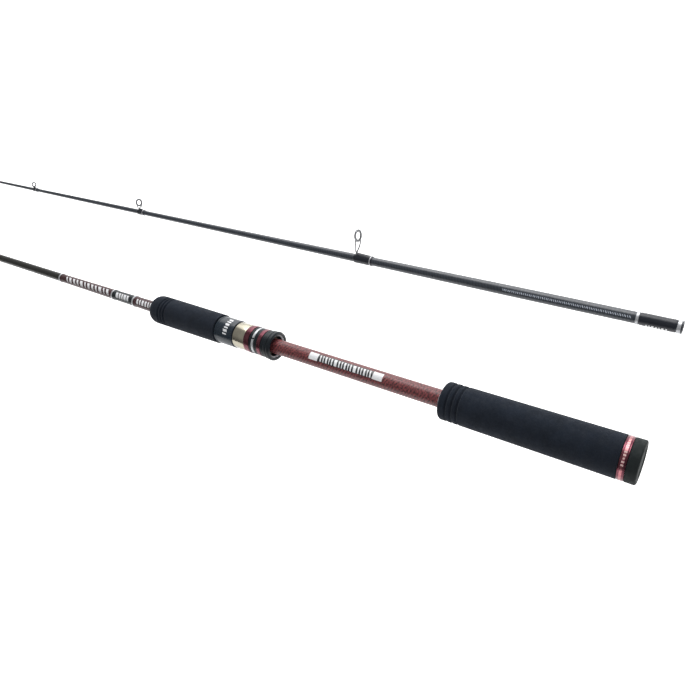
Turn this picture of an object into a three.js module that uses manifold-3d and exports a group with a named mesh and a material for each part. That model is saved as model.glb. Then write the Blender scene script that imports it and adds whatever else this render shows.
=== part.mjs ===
// A two-piece spinning rod, taken apart, in millimetres.
// The butt section lies along +X from the centre of its butt end. The tip section lies beside it at -Y.
// The reel foot's bed and the first guide face -Z.
import * as THREE from "three";
import { mergeVertices } from "three/addons/utils/BufferGeometryUtils.js";
import Module from "manifold-3d";

const wasm = await Module();
wasm.setup();

// Driving dimensions
const BUTT_LENGTH = 1190;
const TIP_LENGTH = 1180;
const TIP_END = TIP_LENGTH - 6;
const TIP_PLACE = [3, -98, -8];
const GUIDE_LEAN = THREE.MathUtils.degToRad(40);
const GAP = 0.3;
const CLOSE_GAP = 0.1;
const BLANK_SIDES = 16;
const WRAP_SIDES = 24;

// Butt section: where each piece starts, from the butt end
const BUTT_RING_START = 6.6;
const REAR_GRIP_START = 11;
const REAR_CHECK_START = 124.3;
const REAR_CHECK_END = 126.1;
const REAR_CHECK_RADIUS = 7.2;
const LIP_START = 267.6;
const RED_RING_REAR_START = 277.1;
const BAND_REAR_START = 280.9;
const SILVER_RING_START = 283.9;
const BAND_FRONT_START = 286.3;
const RED_RING_FRONT_START = 288.9;
const FIXED_HOOD_START = 294.1;
const SLIDING_HOOD_START = 306.4;
const FOREGRIP_START = 325.9;
const FOREGRIP_END = 405.5;
const LABEL_RINGS = { rear: 433.3, middle: 462.7, front: 543.3 };
const LABEL_RING_WIDTH = 1.6;

// Butt blank: [station, outer radius]
const BUTT_BLANK = [
  [7, 6.5],
  [126, 6.2],
  [270, 5.9],
  [405, 5.05],
  [465, 4.5],
  [545, 4.0],
  [566, 3.95],
  [660, 3.8],
  [1105, 3.12],
  [BUTT_LENGTH, 3.05],
];
const BUTT_WALL = 1.1;

// Tip blank: [station from the ferrule end, outer radius]
const TIP_BLANK = [
  [0, 3.95],
  [60, 4.0],
  [122, 3.95],
  [206, 3.55],
  [306, 3.1],
  [429, 2.6],
  [581, 2.2],
  [673, 1.85],
  [772, 1.5],
  [TIP_END, 0.8],
];
const FERRULE_BORE_RADIUS = 3.35;
const FERRULE_DEPTH = 90;
const TIP_BORE = [
  [96, 2.6],
  [306, 1.5],
  [600, 0.6],
];
const FERRULE_LIP_END = 1;
const FERRULE_LIP_RADIUS = 4.3;
const FERRULE_WRAP_START = 3.5;
const FERRULE_WRAP_END = 25.9;
const FERRULE_TRIM_END = 28;
const FERRULE_RING_RADIUS = 4.4;
const FERRULE_WRAP_RADIUS = 4.25;

// Grips
const GRIP_RADIUS_REAR = 13.5;
const GRIP_RADIUS_FRONT = 13.05;
const GRIP_CORNER = 5;
const GRIP_NOSE_DROP = 4.2;
const REAR_GROOVES_START = 109.4;
const REAR_GROOVE_SPACING = 4;
const GROOVE_WIDTH = 1.2;
const GROOVE_DEPTH = 0.6;
const FOREGRIP_RADIUS_REAR = 12;
const FOREGRIP_RADIUS_FRONT = 12.3;
const FOREGRIP_DOME = 12;
const FOREGRIP_GROOVES_START = 383.4;
const FOREGRIP_GROOVE_SPACING = 3.5;
const FOREGRIP_NOSE_BORE = 5.6;
const NUT_LENGTH = 14;
const NUT_RADIUS = 10.3;

// Reel seat
const BARREL_START = 272;
const BARREL_END = 394;
const BARREL_RADIUS = 8.6;
const BARREL_BORE = 7;
const THREAD_START = 328.8;
const THREAD_RADIUS = 8.4;
const BED_HEIGHT = 7.6;
const BED_START = 293.8;
const PAD_RISE = 0.3;
const PAD_HALF_WIDTH = 3.8;
const SEAT_BORE = 8.8;
const RED_RING_RADIUS = 10.95;
const BAND_RADIUS = 10.7;
const SILVER_RING_RADIUS = 10.85;
const FIXED_HOOD_RADIUS = 10.6;
const SLIDING_HOOD_RADIUS = 11.15;
const LIP_RADIUS = 11.65;
const COLLAR_RADIUS = 10.9;
const HOOD_DROP = 14.4;
const POCKET_DROP = 12.5;
const POCKET_HALF_WIDTH = 5.9;
const HOOD_END_WALL = 2.4;

// Guides on the tip section: the ring's station, outer radius and height, and the foot's length
const TIP_GUIDES = [
  { station: 246, ring: 5.1, height: 18.8, foot: 14 },
  { station: 514.7, ring: 3.9, height: 9.6, foot: 6.5 },
  { station: 701, ring: 2.8, height: 5.8, foot: 5.5 },
  { station: 835, ring: 2.5, height: 5.1, foot: 5.5 },
  { station: 945, ring: 2.4, height: 4.8, foot: 5.5 },
  { station: 1035, ring: 2.3, height: 4.5, foot: 5 },
  { station: 1110, ring: 2.2, height: 4.3, foot: 5 },
];
const STRIPPER = { station: 985, ring: 12.5, height: 26, foot: 20 };
const TIP_TOP = { ring: 2.3, tube: 10, tubeWall: 0.5, nose: 1.2, reach: 5, lift: 2 };
const FOOT_THICKNESS = 0.6;
// How far a two-footed guide's feet stand from under its ring, as a share of its height
const FOOT_STANCE = 0.55;
const WRAP_THICKNESS = 0.4;
const WRAP_OVERRUN = 1.6;
const RING_TILT = THREE.MathUtils.degToRad(6);
const TIP_TOP_TILT = THREE.MathUtils.degToRad(20);

// Finishes: colour, roughness, metalness
const FINISHES = {
  rubber: [0x323634, 0.85, 0],
  foam: [0x20262e, 0.95, 0],
  redMetal: [0x8a1e2c, 0.3, 0.8],
  silverMetal: [0xd8d8da, 0.25, 1],
  goldMetal: [0xb8a888, 0.25, 1],
  slate: [0x2c343d, 0.3, 0.1],
  blackNylon: [0x14171a, 0.45, 0],
  arbor: [0x6f6250, 0.9, 0],
  carbonMaroon: [0x5a2326, 0.3, 0.1],
  carbonDark: [0x2b2d30, 0.3, 0.1],
  thread: [0x0c0c0e, 0.2, 0],
  guideFrame: [0xb9bcc0, 0.25, 1],
  ceramic: [0x26282c, 0.15, 0],
};

// The radius of a blank at a station, along straight tapers between the listed ones
function radiusAt(outline, station) {
  for (let i = 1; i < outline.length; i++) {
    const [x0, r0] = outline[i - 1];
    const [x1, r1] = outline[i];
    if (station <= x1) return r0 + ((r1 - r0) * (station - x0)) / (x1 - x0);
  }
  return outline.at(-1)[1];
}

// Turns a geometry's faces outwards if they face in
function facingOut(geometry) {
  const merged = onlyPositions(geometry);
  const points = merged.getAttribute("position");
  const corners = merged.index.array;
  const [a, b, c] = [0, 1, 2].map(() => new THREE.Vector3());
  let volume = 0;
  for (let i = 0; i < corners.length; i += 3) {
    a.fromBufferAttribute(points, corners[i]);
    b.fromBufferAttribute(points, corners[i + 1]);
    c.fromBufferAttribute(points, corners[i + 2]);
    volume += a.dot(b.cross(c));
  }
  if (volume > 0) return merged;
  const turned = corners.slice();
  for (let i = 0; i < turned.length; i += 3) {
    turned[i] = corners[i + 1];
    turned[i + 1] = corners[i];
  }
  merged.setIndex(new THREE.BufferAttribute(turned, 1));
  return merged;
}

function onlyPositions(geometry) {
  const bare = geometry.clone();
  bare.deleteAttribute("normal");
  bare.deleteAttribute("uv");
  return mergeVertices(bare, 1e-4);
}

// A solid of revolution about the X axis from [station, radius] pairs
function turnedSolid(outline, sides = 24) {
  const points = outline.map(([station, radius]) => new THREE.Vector2(radius, station));
  return facingOut(new THREE.LatheGeometry(points, sides).rotateZ(-Math.PI / 2));
}

// A plain ring along X
function ring(start, end, inner, outer, sides = 24) {
  const outline = [
    [start, inner],
    [start, outer],
    [end, outer],
    [end, inner],
    [start, inner],
  ];
  return turnedSolid(outline, sides);
}

// A ring along X whose outer edges are rounded off
function softRing(start, end, inner, outer, edge, sides = 24) {
  const outline = [
    [start, inner],
    [start, outer - edge],
    [start + edge, outer],
    [end - edge, outer],
    [end, outer - edge],
    [end, inner],
    [start, inner],
  ];
  return turnedSolid(outline, sides);
}

function box(low, high) {
  const size = high.map((value, i) => value - low[i]);
  const middle = high.map((value, i) => (value + low[i]) / 2);
  return facingOut(new THREE.BoxGeometry(...size).translate(...middle));
}

// Joins and cuts
function solidOf(geometry) {
  const merged = geometry.index ? geometry : onlyPositions(geometry);
  const mesh = new wasm.Mesh({
    numProp: 3,
    vertProperties: new Float32Array(merged.getAttribute("position").array),
    triVerts: new Uint32Array(merged.index.array),
  });
  return new wasm.Manifold(mesh);
}

function geometryOf(solid) {
  const mesh = solid.getMesh();
  const geometry = new THREE.BufferGeometry();
  geometry.setAttribute("position", new THREE.BufferAttribute(mesh.vertProperties, 3));
  geometry.setIndex(new THREE.BufferAttribute(mesh.triVerts, 1));
  return geometry;
}

function joined(...geometries) {
  return geometryOf(geometries.map(solidOf).reduce((sum, next) => sum.add(next)));
}

function cut(body, ...tools) {
  return geometryOf(tools.map(solidOf).reduce((rest, tool) => rest.subtract(tool), solidOf(body)));
}

// A round wire along a smooth curve through the given points
function wire(points, radius, steps = 5, sides = 5) {
  const path = new THREE.CatmullRomCurve3(points.map((p) => new THREE.Vector3(...p)));
  const section = new THREE.Shape();
  for (let i = 0; i < sides; i++) {
    const turn = (2 * Math.PI * i) / sides;
    const place = [radius * Math.cos(turn), radius * Math.sin(turn)];
    if (i) section.lineTo(...place);
    else section.moveTo(...place);
  }
  section.closePath();
  return facingOut(new THREE.ExtrudeGeometry(section, { steps, bevelEnabled: false, extrudePath: path }));
}

function mesh(name, geometry, finish) {
  const [color, roughness, metalness] = FINISHES[finish];
  const material = new THREE.MeshStandardMaterial({ color, roughness, metalness });
  const made = new THREE.Mesh(geometry, material);
  made.name = name;
  return made;
}

// The three turned grooves near a grip's front, as outline points from rear to front
function grooves(firstStation, spacing, radius) {
  const points = [];
  for (let i = 0; i < 3; i++) {
    const start = firstStation + i * spacing;
    points.push([start, radius]);
    points.push([start + GROOVE_WIDTH / 2, radius - GROOVE_DEPTH]);
    points.push([start + GROOVE_WIDTH, radius]);
  }
  return points;
}

// A quarter-round front corner, as outline points from its widest point inwards
function roundedFront(end, radius, corner, depth, steps) {
  const points = [];
  for (let i = 0; i <= steps; i++) {
    const turn = (Math.PI / 2) * (i / steps);
    points.push([end - corner + corner * Math.sin(turn), radius - depth + depth * Math.cos(turn)]);
  }
  return points;
}

function rearGrip() {
  const bore = BUTT_BLANK[0][1] + GAP;
  const end = REAR_CHECK_START - GAP;
  const outline = [
    [REAR_GRIP_START, bore],
    [REAR_GRIP_START, GRIP_RADIUS_REAR],
    ...grooves(REAR_GROOVES_START, REAR_GROOVE_SPACING, GRIP_RADIUS_FRONT),
    ...roundedFront(end, GRIP_RADIUS_FRONT, GRIP_CORNER, GRIP_NOSE_DROP, 3),
    [end, bore],
    [REAR_GRIP_START, bore],
  ];
  return turnedSolid(outline);
}

function buttCap() {
  const plug = 4.6;
  const outline = [
    [0, 0],
    [0, 12.4],
    [1.2, GRIP_RADIUS_REAR - 0.05],
    [BUTT_RING_START - GAP, GRIP_RADIUS_REAR - 0.05],
    [BUTT_RING_START - GAP, plug],
    [18, plug],
    [18, 0],
  ];
  return turnedSolid(outline);
}

// The blank's wall: out along the outside, back along the bore
function buttBlank() {
  const bore = BUTT_BLANK.map(([station, radius]) => [station, Math.max(radius - BUTT_WALL, 1.8)]);
  return turnedSolid([...BUTT_BLANK, ...bore.reverse(), BUTT_BLANK[0]], BLANK_SIDES);
}

// The bore is open at the ferrule and ends in the solid tip
function tipBlank() {
  const bore = [
    [0, FERRULE_BORE_RADIUS],
    [FERRULE_DEPTH, FERRULE_BORE_RADIUS],
    ...TIP_BORE,
    [TIP_BORE.at(-1)[0], 0],
  ].reverse();
  const lip = [
    [0, FERRULE_LIP_RADIUS],
    [FERRULE_LIP_END - GAP, FERRULE_LIP_RADIUS],
    [FERRULE_LIP_END - GAP, radiusAt(TIP_BLANK, FERRULE_LIP_END)],
  ];
  const tip = [TIP_END, 0];
  return turnedSolid([...bore, ...lip, ...TIP_BLANK.slice(1), tip], BLANK_SIDES);
}

function seatBarrel() {
  const outline = [
    [BARREL_START, BARREL_BORE],
    [BARREL_START, BARREL_RADIUS],
    [THREAD_START, BARREL_RADIUS],
    [THREAD_START, THREAD_RADIUS],
    [BARREL_END, THREAD_RADIUS],
    [BARREL_END, BARREL_BORE],
    [BARREL_START, BARREL_BORE],
  ];
  const belowBed = box([BED_START, -10, -12], [BARREL_END + 1, 10, -BED_HEIGHT]);
  // The reel foot stands on a slightly raised pad between the two hoods' end walls.
  const padStart = FIXED_HOOD_START + HOOD_END_WALL + GAP;
  const padEnd = FOREGRIP_START - GAP - HOOD_END_WALL - GAP;
  const pad = box(
    [padStart, -PAD_HALF_WIDTH, -BED_HEIGHT - PAD_RISE],
    [padEnd, PAD_HALF_WIDTH, -BED_HEIGHT + PAD_RISE],
  );
  return joined(cut(turnedSolid(outline, 32), belowBed), pad);
}

function seatEndCollar() {
  const seat = 9.85;
  const outline = [
    [LIP_START, seat],
    [LIP_START, 10.9],
    [LIP_START + 0.8, LIP_RADIUS],
    [LIP_START + 2.6, LIP_RADIUS],
    [LIP_START + 3.1, 11],
    [LIP_START + 3.6, 11.3],
    [LIP_START + 6.2, 11.3],
    [LIP_START + 6.7, 10.7],
    [LIP_START + 7.2, COLLAR_RADIUS],
    [RED_RING_REAR_START - GAP, COLLAR_RADIUS],
    [RED_RING_REAR_START - GAP, SEAT_BORE],
    [BARREL_START, SEAT_BORE],
    [BARREL_START, seat],
    [LIP_START, seat],
  ];
  return turnedSolid(outline);
}

// The bright chamfer inside the lip
function seatLipRing() {
  const outline = [
    [LIP_START + 0.5, 9.4],
    [LIP_START + 0.5, 9.75],
    [BARREL_START - GAP, 9.75],
    [BARREL_START - GAP, 7.3],
    [BARREL_START - 1.2, 7.3],
    [LIP_START + 0.5, 9.4],
  ];
  return turnedSolid(outline);
}

// A hood: a ring round the barrel with a pocket below it for one end of the reel foot
function hood(start, end, radius, mouthTowardsTip) {
  const band = ring(start, end, BARREL_BORE, radius, 32);
  const outline = new THREE.Shape();
  outline.moveTo(-9.2, -4);
  outline.lineTo(-7.6, -11.6);
  outline.quadraticCurveTo(-7.2, -HOOD_DROP, -4.2, -HOOD_DROP);
  outline.lineTo(4.2, -HOOD_DROP);
  outline.quadraticCurveTo(7.2, -HOOD_DROP, 7.6, -11.6);
  outline.lineTo(9.2, -4);
  outline.closePath();
  const pod = new THREE.ExtrudeGeometry(outline, {
    depth: end - start,
    bevelEnabled: false,
    curveSegments: 4,
  });
  // The outline's plane becomes YZ and its depth runs along X.
  pod.rotateX(Math.PI / 2).rotateZ(Math.PI / 2).translate(start, 0, 0);
  const bore = cut(
    turnedSolid([[start - 1, 0], [start - 1, SEAT_BORE], [end + 1, SEAT_BORE], [end + 1, 0]], 32),
    box([start - 2, -10, -12], [end + 2, 10, -BED_HEIGHT - 0.15]),
  );
  const pocketStart = mouthTowardsTip ? start + HOOD_END_WALL : start - 1;
  const pocketEnd = mouthTowardsTip ? end + 1 : end - HOOD_END_WALL;
  const pocket = box(
    [pocketStart, -POCKET_HALF_WIDTH, -POCKET_DROP],
    [pocketEnd, POCKET_HALF_WIDTH, -BED_HEIGHT],
  );
  return cut(joined(band, facingOut(pod)), bore, pocket);
}

function foregrip() {
  const barrelBore = 8.9;
  const nutSeat = NUT_RADIUS + CLOSE_GAP;
  const nutEnd = FOREGRIP_START + NUT_LENGTH + GAP;
  const noseStart = BARREL_END + 2;
  const outline = [
    [FOREGRIP_START, nutSeat],
    [FOREGRIP_START, FOREGRIP_RADIUS_REAR],
    ...grooves(FOREGRIP_GROOVES_START, FOREGRIP_GROOVE_SPACING, FOREGRIP_RADIUS_FRONT),
    ...roundedFront(FOREGRIP_END, FOREGRIP_RADIUS_FRONT, FOREGRIP_DOME, 6.2, 4),
    [FOREGRIP_END, FOREGRIP_NOSE_BORE],
    [noseStart, FOREGRIP_NOSE_BORE],
    [noseStart, barrelBore],
    [nutEnd, barrelBore],
    [nutEnd, nutSeat],
    [FOREGRIP_START, nutSeat],
  ];
  return turnedSolid(outline);
}

function arbor(start, end) {
  const inner = radiusAt(BUTT_BLANK, start) + CLOSE_GAP;
  return ring(start, end, inner, BARREL_BORE - CLOSE_GAP, 24);
}

// Wall of a guide's frame ring, wall of its ceramic, and its width along the line
function guideSizes(radius) {
  const frameWall = 0.12 * radius + 0.2;
  const ceramicWall = 0.13 * radius + 0.2;
  return {
    frameInner: radius - frameWall,
    ceramicOuter: radius - frameWall - CLOSE_GAP,
    ceramicInner: radius - frameWall - CLOSE_GAP - ceramicWall,
    width: 0.12 * radius + 0.5,
    legRadius: 0.05 * radius + 0.25,
    footHalfWidth: 0.1 * radius + 0.5,
  };
}

// A guide's frame stands on +Z over the blank's axis, with its ring over x = 0.
// A single foot points towards the butt, and its legs stand straight under the ring.
function guideFrame(radius, height, footLength, blankRadius, hasFrontFoot) {
  const { frameInner, width, legRadius, footHalfWidth } = guideSizes(radius);
  const sides = radius > 5 ? 24 : 12;
  const hoop = ring(-width / 2, width / 2, frameInner, radius, sides);
  hoop.rotateY(RING_TILT).translate(0, 0, height);
  const footLow = blankRadius + CLOSE_GAP + 0.05;
  const footHigh = footLow + FOOT_THICKNESS;
  const rise = radius * 0.55;
  const legTop = height - rise;
  const legOut = Math.sqrt(radius ** 2 - rise ** 2) - legRadius * 0.6;
  const parts = [hoop];
  for (const direction of hasFrontFoot ? [-1, 1] : [-1]) {
    const root = hasFrontFoot ? direction * height * FOOT_STANCE : 0;
    const near = Math.min(root, root + direction * footLength);
    const far = Math.max(root, root + direction * footLength);
    const inward = -direction * legRadius;
    parts.push(box([near - 0.2, -footHalfWidth, footLow], [far + 0.2, footHalfWidth, footHigh]));
    for (const side of [-1, 1]) {
      const leg = [
        [root - inward, side * (footHalfWidth - legRadius), footLow + legRadius],
        [root + inward * 2, side * footHalfWidth, footHigh + legRadius * 2],
        [root * 0.4, side * (footHalfWidth + legOut) * 0.6, (footHigh + legTop) / 2],
        [Math.sin(RING_TILT) * rise * -1, side * legOut, legTop],
      ];
      parts.push(wire(leg, legRadius));
    }
  }
  return joined(...parts);
}

function guideCeramic(radius, height) {
  const { ceramicOuter, ceramicInner, width } = guideSizes(radius);
  const sides = radius > 5 ? 24 : 12;
  const half = width * 0.6;
  const middle = (ceramicOuter + ceramicInner) / 2;
  const outline = [
    [-half, middle],
    [-half * 0.8, ceramicOuter],
    [half * 0.8, ceramicOuter],
    [half, middle],
    [half * 0.5, ceramicInner],
    [-half * 0.5, ceramicInner],
    [-half, middle],
  ];
  return turnedSolid(outline, sides).rotateY(RING_TILT).translate(0, 0, height);
}

// A thread wrap: a sleeve round the blank and the guide's foot together
function wrap(start, end, blankRadius, footHalfWidth) {
  const footTop = blankRadius + CLOSE_GAP + 0.05 + FOOT_THICKNESS;
  const edge = (turn, around) => {
    const circle = blankRadius + around;
    if (Math.sin(turn) <= 0) return circle;
    const sideways = (footHalfWidth + around) / Math.max(Math.abs(Math.cos(turn)), 1e-6);
    const upwards = (footTop + around) / Math.sin(turn);
    return Math.max(circle, Math.min(sideways, upwards));
  };
  const trace = (path, around) => {
    for (let i = 0; i < WRAP_SIDES; i++) {
      const turn = (2 * Math.PI * i) / WRAP_SIDES;
      const reach = edge(turn, around);
      const place = [reach * Math.cos(turn), reach * Math.sin(turn)];
      if (i) path.lineTo(...place);
      else path.moveTo(...place);
    }
    path.closePath();
    return path;
  };
  const clearance = CLOSE_GAP + 0.1 * blankRadius;
  const section = trace(new THREE.Shape(), clearance + WRAP_THICKNESS);
  section.holes.push(trace(new THREE.Path(), clearance));
  const sleeve = new THREE.ExtrudeGeometry(section, { depth: end - start, bevelEnabled: false });
  return facingOut(sleeve.rotateX(Math.PI / 2).rotateZ(Math.PI / 2).translate(start, 0, 0));
}

function tipTopFrame() {
  const tubeLength = TIP_TOP.tube;
  const { frameInner, width, legRadius } = guideSizes(TIP_TOP.ring);
  const bore = TIP_BLANK.at(-1)[1] + CLOSE_GAP;
  const outer = bore + TIP_TOP.tubeWall;
  const tubeOutline = [
    [-tubeLength, bore],
    [-tubeLength, outer],
    [TIP_TOP.nose, outer],
    [TIP_TOP.nose, 0],
    [GAP, 0],
    [GAP, bore],
    [-tubeLength, bore],
  ];
  const hoop = ring(-width / 2, width / 2, frameInner, TIP_TOP.ring, 16);
  hoop.rotateY(TIP_TOP_TILT).translate(TIP_TOP.reach, 0, TIP_TOP.lift);
  const parts = [turnedSolid(tubeOutline, 16), hoop];
  for (const side of [-1, 1]) {
    const arm = [
      [-2.5, side * (outer - legRadius), outer / 2],
      [TIP_TOP.nose, side * outer, outer * 0.65],
      [TIP_TOP.reach, side * (TIP_TOP.ring - legRadius / 5), TIP_TOP.lift],
    ];
    parts.push(wire(arm, legRadius));
  }
  const stem = [
    [TIP_TOP.nose - GAP, 0, 0],
    [TIP_TOP.nose + 1, 0, 0],
    [TIP_TOP.reach - 0.2, 0, TIP_TOP.lift - TIP_TOP.ring],
  ];
  parts.push(wire(stem, legRadius));
  return joined(...parts);
}

function tipTopCeramic() {
  const ceramic = guideCeramic(TIP_TOP.ring, 0);
  return ceramic.rotateY(TIP_TOP_TILT - RING_TILT).translate(TIP_TOP.reach, 0, TIP_TOP.lift);
}

function seatStack() {
  const bands = [
    ["seat_red_ring_rear", RED_RING_REAR_START, BAND_REAR_START, RED_RING_RADIUS, "redMetal"],
    ["seat_band_rear", BAND_REAR_START, SILVER_RING_START, BAND_RADIUS, "blackNylon"],
    ["seat_silver_ring", SILVER_RING_START, BAND_FRONT_START, SILVER_RING_RADIUS, "silverMetal"],
    ["seat_band_front", BAND_FRONT_START, RED_RING_FRONT_START, BAND_RADIUS, "blackNylon"],
    ["seat_red_ring_front", RED_RING_FRONT_START, FIXED_HOOD_START, RED_RING_RADIUS, "redMetal"],
  ];
  return bands.map(([name, start, end, radius, finish]) =>
    mesh(name, softRing(start, end - GAP, SEAT_BORE, radius, 0.35), finish),
  );
}

function labelRings() {
  return Object.entries(LABEL_RINGS).map(([place, station]) => {
    const inner = radiusAt(BUTT_BLANK, station - LABEL_RING_WIDTH) + CLOSE_GAP;
    const half = LABEL_RING_WIDTH / 2;
    const shape = ring(station - half, station + half, inner, inner + 0.35, 20);
    return mesh("label_ring_" + place, shape, "silverMetal");
  });
}

function stripperGuide() {
  const { station, ring: radius, height, foot } = STRIPPER;
  const { footHalfWidth, legRadius } = guideSizes(radius);
  const blankRadius = radiusAt(BUTT_BLANK, station - height);
  const near = height * FOOT_STANCE + 2 * legRadius + 0.8;
  const far = height * FOOT_STANCE + foot + WRAP_OVERRUN;
  const group = new THREE.Group();
  group.position.x = station;
  group.rotation.x = Math.PI;
  group.add(
    mesh("stripper_frame", guideFrame(radius, height, foot, blankRadius, true), "guideFrame"),
    mesh("stripper_ring", guideCeramic(radius, height), "ceramic"),
    mesh("stripper_wrap_rear", wrap(-far, -near, blankRadius, footHalfWidth), "thread"),
    mesh("stripper_wrap_front", wrap(near, far, blankRadius, footHalfWidth), "thread"),
  );
  return group;
}

function buttSection() {
  const group = new THREE.Group();
  const checkBore = radiusAt(BUTT_BLANK, REAR_CHECK_START) + CLOSE_GAP;
  const check = ring(REAR_CHECK_START, REAR_CHECK_END, checkBore, REAR_CHECK_RADIUS);
  const buttRing = softRing(BUTT_RING_START, REAR_GRIP_START - GAP, 6.9, GRIP_RADIUS_REAR, 0.5);
  const fixedHood = hood(FIXED_HOOD_START, SLIDING_HOOD_START - GAP, FIXED_HOOD_RADIUS, true);
  const slidingHood = hood(SLIDING_HOOD_START, FOREGRIP_START - GAP, SLIDING_HOOD_RADIUS, false);
  const nut = ring(FOREGRIP_START, FOREGRIP_START + NUT_LENGTH, SEAT_BORE, NUT_RADIUS);
  group.add(
    mesh("butt_cap", buttCap(), "rubber"),
    mesh("butt_ring", buttRing, "redMetal"),
    mesh("rear_grip", rearGrip(), "foam"),
    mesh("rear_winding_check", check, "silverMetal"),
    mesh("butt_blank", buttBlank(), "carbonMaroon"),
    mesh("rear_arbor", arbor(BARREL_START + 1, 300), "arbor"),
    mesh("front_arbor", arbor(364, 388), "arbor"),
    mesh("seat_barrel", seatBarrel(), "blackNylon"),
    mesh("seat_end_collar", seatEndCollar(), "blackNylon"),
    mesh("seat_lip_ring", seatLipRing(), "silverMetal"),
    ...seatStack(),
    mesh("fixed_hood", fixedHood, "goldMetal"),
    mesh("sliding_hood", slidingHood, "slate"),
    mesh("foregrip", foregrip(), "foam"),
    mesh("foregrip_nut", nut, "blackNylon"),
    ...labelRings(),
    stripperGuide(),
  );
  return group;
}

function tipGuide({ station, ring: radius, height, foot }, number) {
  const blankRadius = radiusAt(TIP_BLANK, station - foot - WRAP_OVERRUN);
  const { footHalfWidth, legRadius } = guideSizes(radius);
  const wrapStart = -foot - WRAP_OVERRUN;
  const wrapEnd = -2 * legRadius - 0.4;
  const group = new THREE.Group();
  group.position.x = station;
  const name = "guide_" + number;
  group.add(
    mesh(name + "_frame", guideFrame(radius, height, foot, blankRadius, false), "guideFrame"),
    mesh(name + "_ring", guideCeramic(radius, height), "ceramic"),
    mesh(name + "_wrap", wrap(wrapStart, wrapEnd, blankRadius, footHalfWidth), "thread"),
  );
  return group;
}

function tipSection() {
  const group = new THREE.Group();
  group.position.set(...TIP_PLACE);
  group.rotation.x = GUIDE_LEAN;
  const bore = radiusAt(TIP_BLANK, 0) + CLOSE_GAP;
  const mouthEnd = FERRULE_WRAP_START - GAP;
  const trimStart = FERRULE_WRAP_END + GAP;
  const mouthRing = ring(FERRULE_LIP_END, mouthEnd, bore, FERRULE_RING_RADIUS, 20);
  const ferruleWrap = ring(FERRULE_WRAP_START, FERRULE_WRAP_END, bore, FERRULE_WRAP_RADIUS, 20);
  const trimRing = ring(trimStart, FERRULE_TRIM_END, bore, FERRULE_RING_RADIUS, 20);
  const top = new THREE.Group();
  top.position.x = TIP_END;
  top.add(
    mesh("tip_top_frame", tipTopFrame(), "guideFrame"),
    mesh("tip_top_ring", tipTopCeramic(), "ceramic"),
  );
  const topWrapStart = TIP_END - 2 * TIP_TOP.tube;
  const topWrapBore = radiusAt(TIP_BLANK, topWrapStart) + CLOSE_GAP;
  const topWrapEnd = TIP_END - TIP_TOP.tube - GAP;
  const topWrap = ring(topWrapStart, topWrapEnd, topWrapBore, topWrapBore + WRAP_THICKNESS, 16);
  group.add(
    mesh("tip_blank", tipBlank(), "carbonDark"),
    mesh("ferrule_mouth_ring", mouthRing, "silverMetal"),
    mesh("ferrule_wrap", ferruleWrap, "thread"),
    mesh("ferrule_trim_ring", trimRing, "silverMetal"),
    mesh("tip_top_wrap", topWrap, "thread"),
    top,
    ...TIP_GUIDES.map((guide, i) => tipGuide(guide, i + 1)),
  );
  return group;
}

const rod = new THREE.Group();
rod.add(buttSection(), tipSection());

export default rod;
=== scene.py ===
"""The looks of a two-piece spinning rod, taken apart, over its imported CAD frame.

Sizes are in millimetres until a mesh is made. A piece is built along its own section's axis: x runs
along the rod, side and up go across it, and "up" is where that section's guides or reel stand.
"""
from math import atan2, cos, hypot, pi, radians, sin, sqrt

import bmesh
import bpy
import numpy as np
from mathutils import Matrix, Vector


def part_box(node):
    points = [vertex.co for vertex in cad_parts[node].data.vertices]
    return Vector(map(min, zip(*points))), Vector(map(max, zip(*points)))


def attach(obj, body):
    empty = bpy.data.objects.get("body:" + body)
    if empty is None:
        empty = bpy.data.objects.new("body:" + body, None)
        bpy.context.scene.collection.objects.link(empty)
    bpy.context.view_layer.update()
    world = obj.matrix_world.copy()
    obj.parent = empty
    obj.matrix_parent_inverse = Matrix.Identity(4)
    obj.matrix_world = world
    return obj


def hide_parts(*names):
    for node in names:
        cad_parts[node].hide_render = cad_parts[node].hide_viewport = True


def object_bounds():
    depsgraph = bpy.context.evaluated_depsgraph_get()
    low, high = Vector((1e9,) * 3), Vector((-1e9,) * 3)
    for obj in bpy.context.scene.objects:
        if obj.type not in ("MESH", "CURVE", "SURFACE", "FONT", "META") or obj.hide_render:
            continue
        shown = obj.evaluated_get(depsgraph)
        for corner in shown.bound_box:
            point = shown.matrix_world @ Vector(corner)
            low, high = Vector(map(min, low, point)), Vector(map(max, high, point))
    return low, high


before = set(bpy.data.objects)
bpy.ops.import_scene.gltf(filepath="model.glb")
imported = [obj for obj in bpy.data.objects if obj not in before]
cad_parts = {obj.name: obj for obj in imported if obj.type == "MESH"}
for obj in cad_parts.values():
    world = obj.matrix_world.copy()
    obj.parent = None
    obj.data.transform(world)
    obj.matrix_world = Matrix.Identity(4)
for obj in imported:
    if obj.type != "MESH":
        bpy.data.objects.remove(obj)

MM = 0.001
CAD_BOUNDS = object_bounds()

# The camera, in metres
CAMERA_PLACE = Vector((-0.028, 0.140, 0.378))
CAMERA_FORWARD = Vector((0.500, -0.328, -0.801))
CAMERA_RIGHT = Vector((-0.829, -0.449, -0.335))
SENSOR = 36
LENS = 32.9

# The light: ways towards it, and (low, high, strength at low, strength at high) over the direction's
# height and over its closeness to the soft box
SOFT_BOX_WAY = Vector((0.25, -0.87, 0.42))
KEY_WAY = Vector((0.25, -0.75, 1.0))
ROOM_LIGHT = (-0.05, 0.8, 0.10, 0.5)
SOFT_BOX_LIGHT = (0.72, 0.93, 0.0, 2.6)

# Half the floor's width, in metres
FLOOR_HALF = 6.0

# How many sides round pieces have, and the sharpest bend that is shaded smooth, in degrees
EXTRA_FINE = 128
FINE = 96
ROUND = 64
MIDDLE = 48
SMALL = 28
SMOOTH_ANGLE = 35

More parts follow.
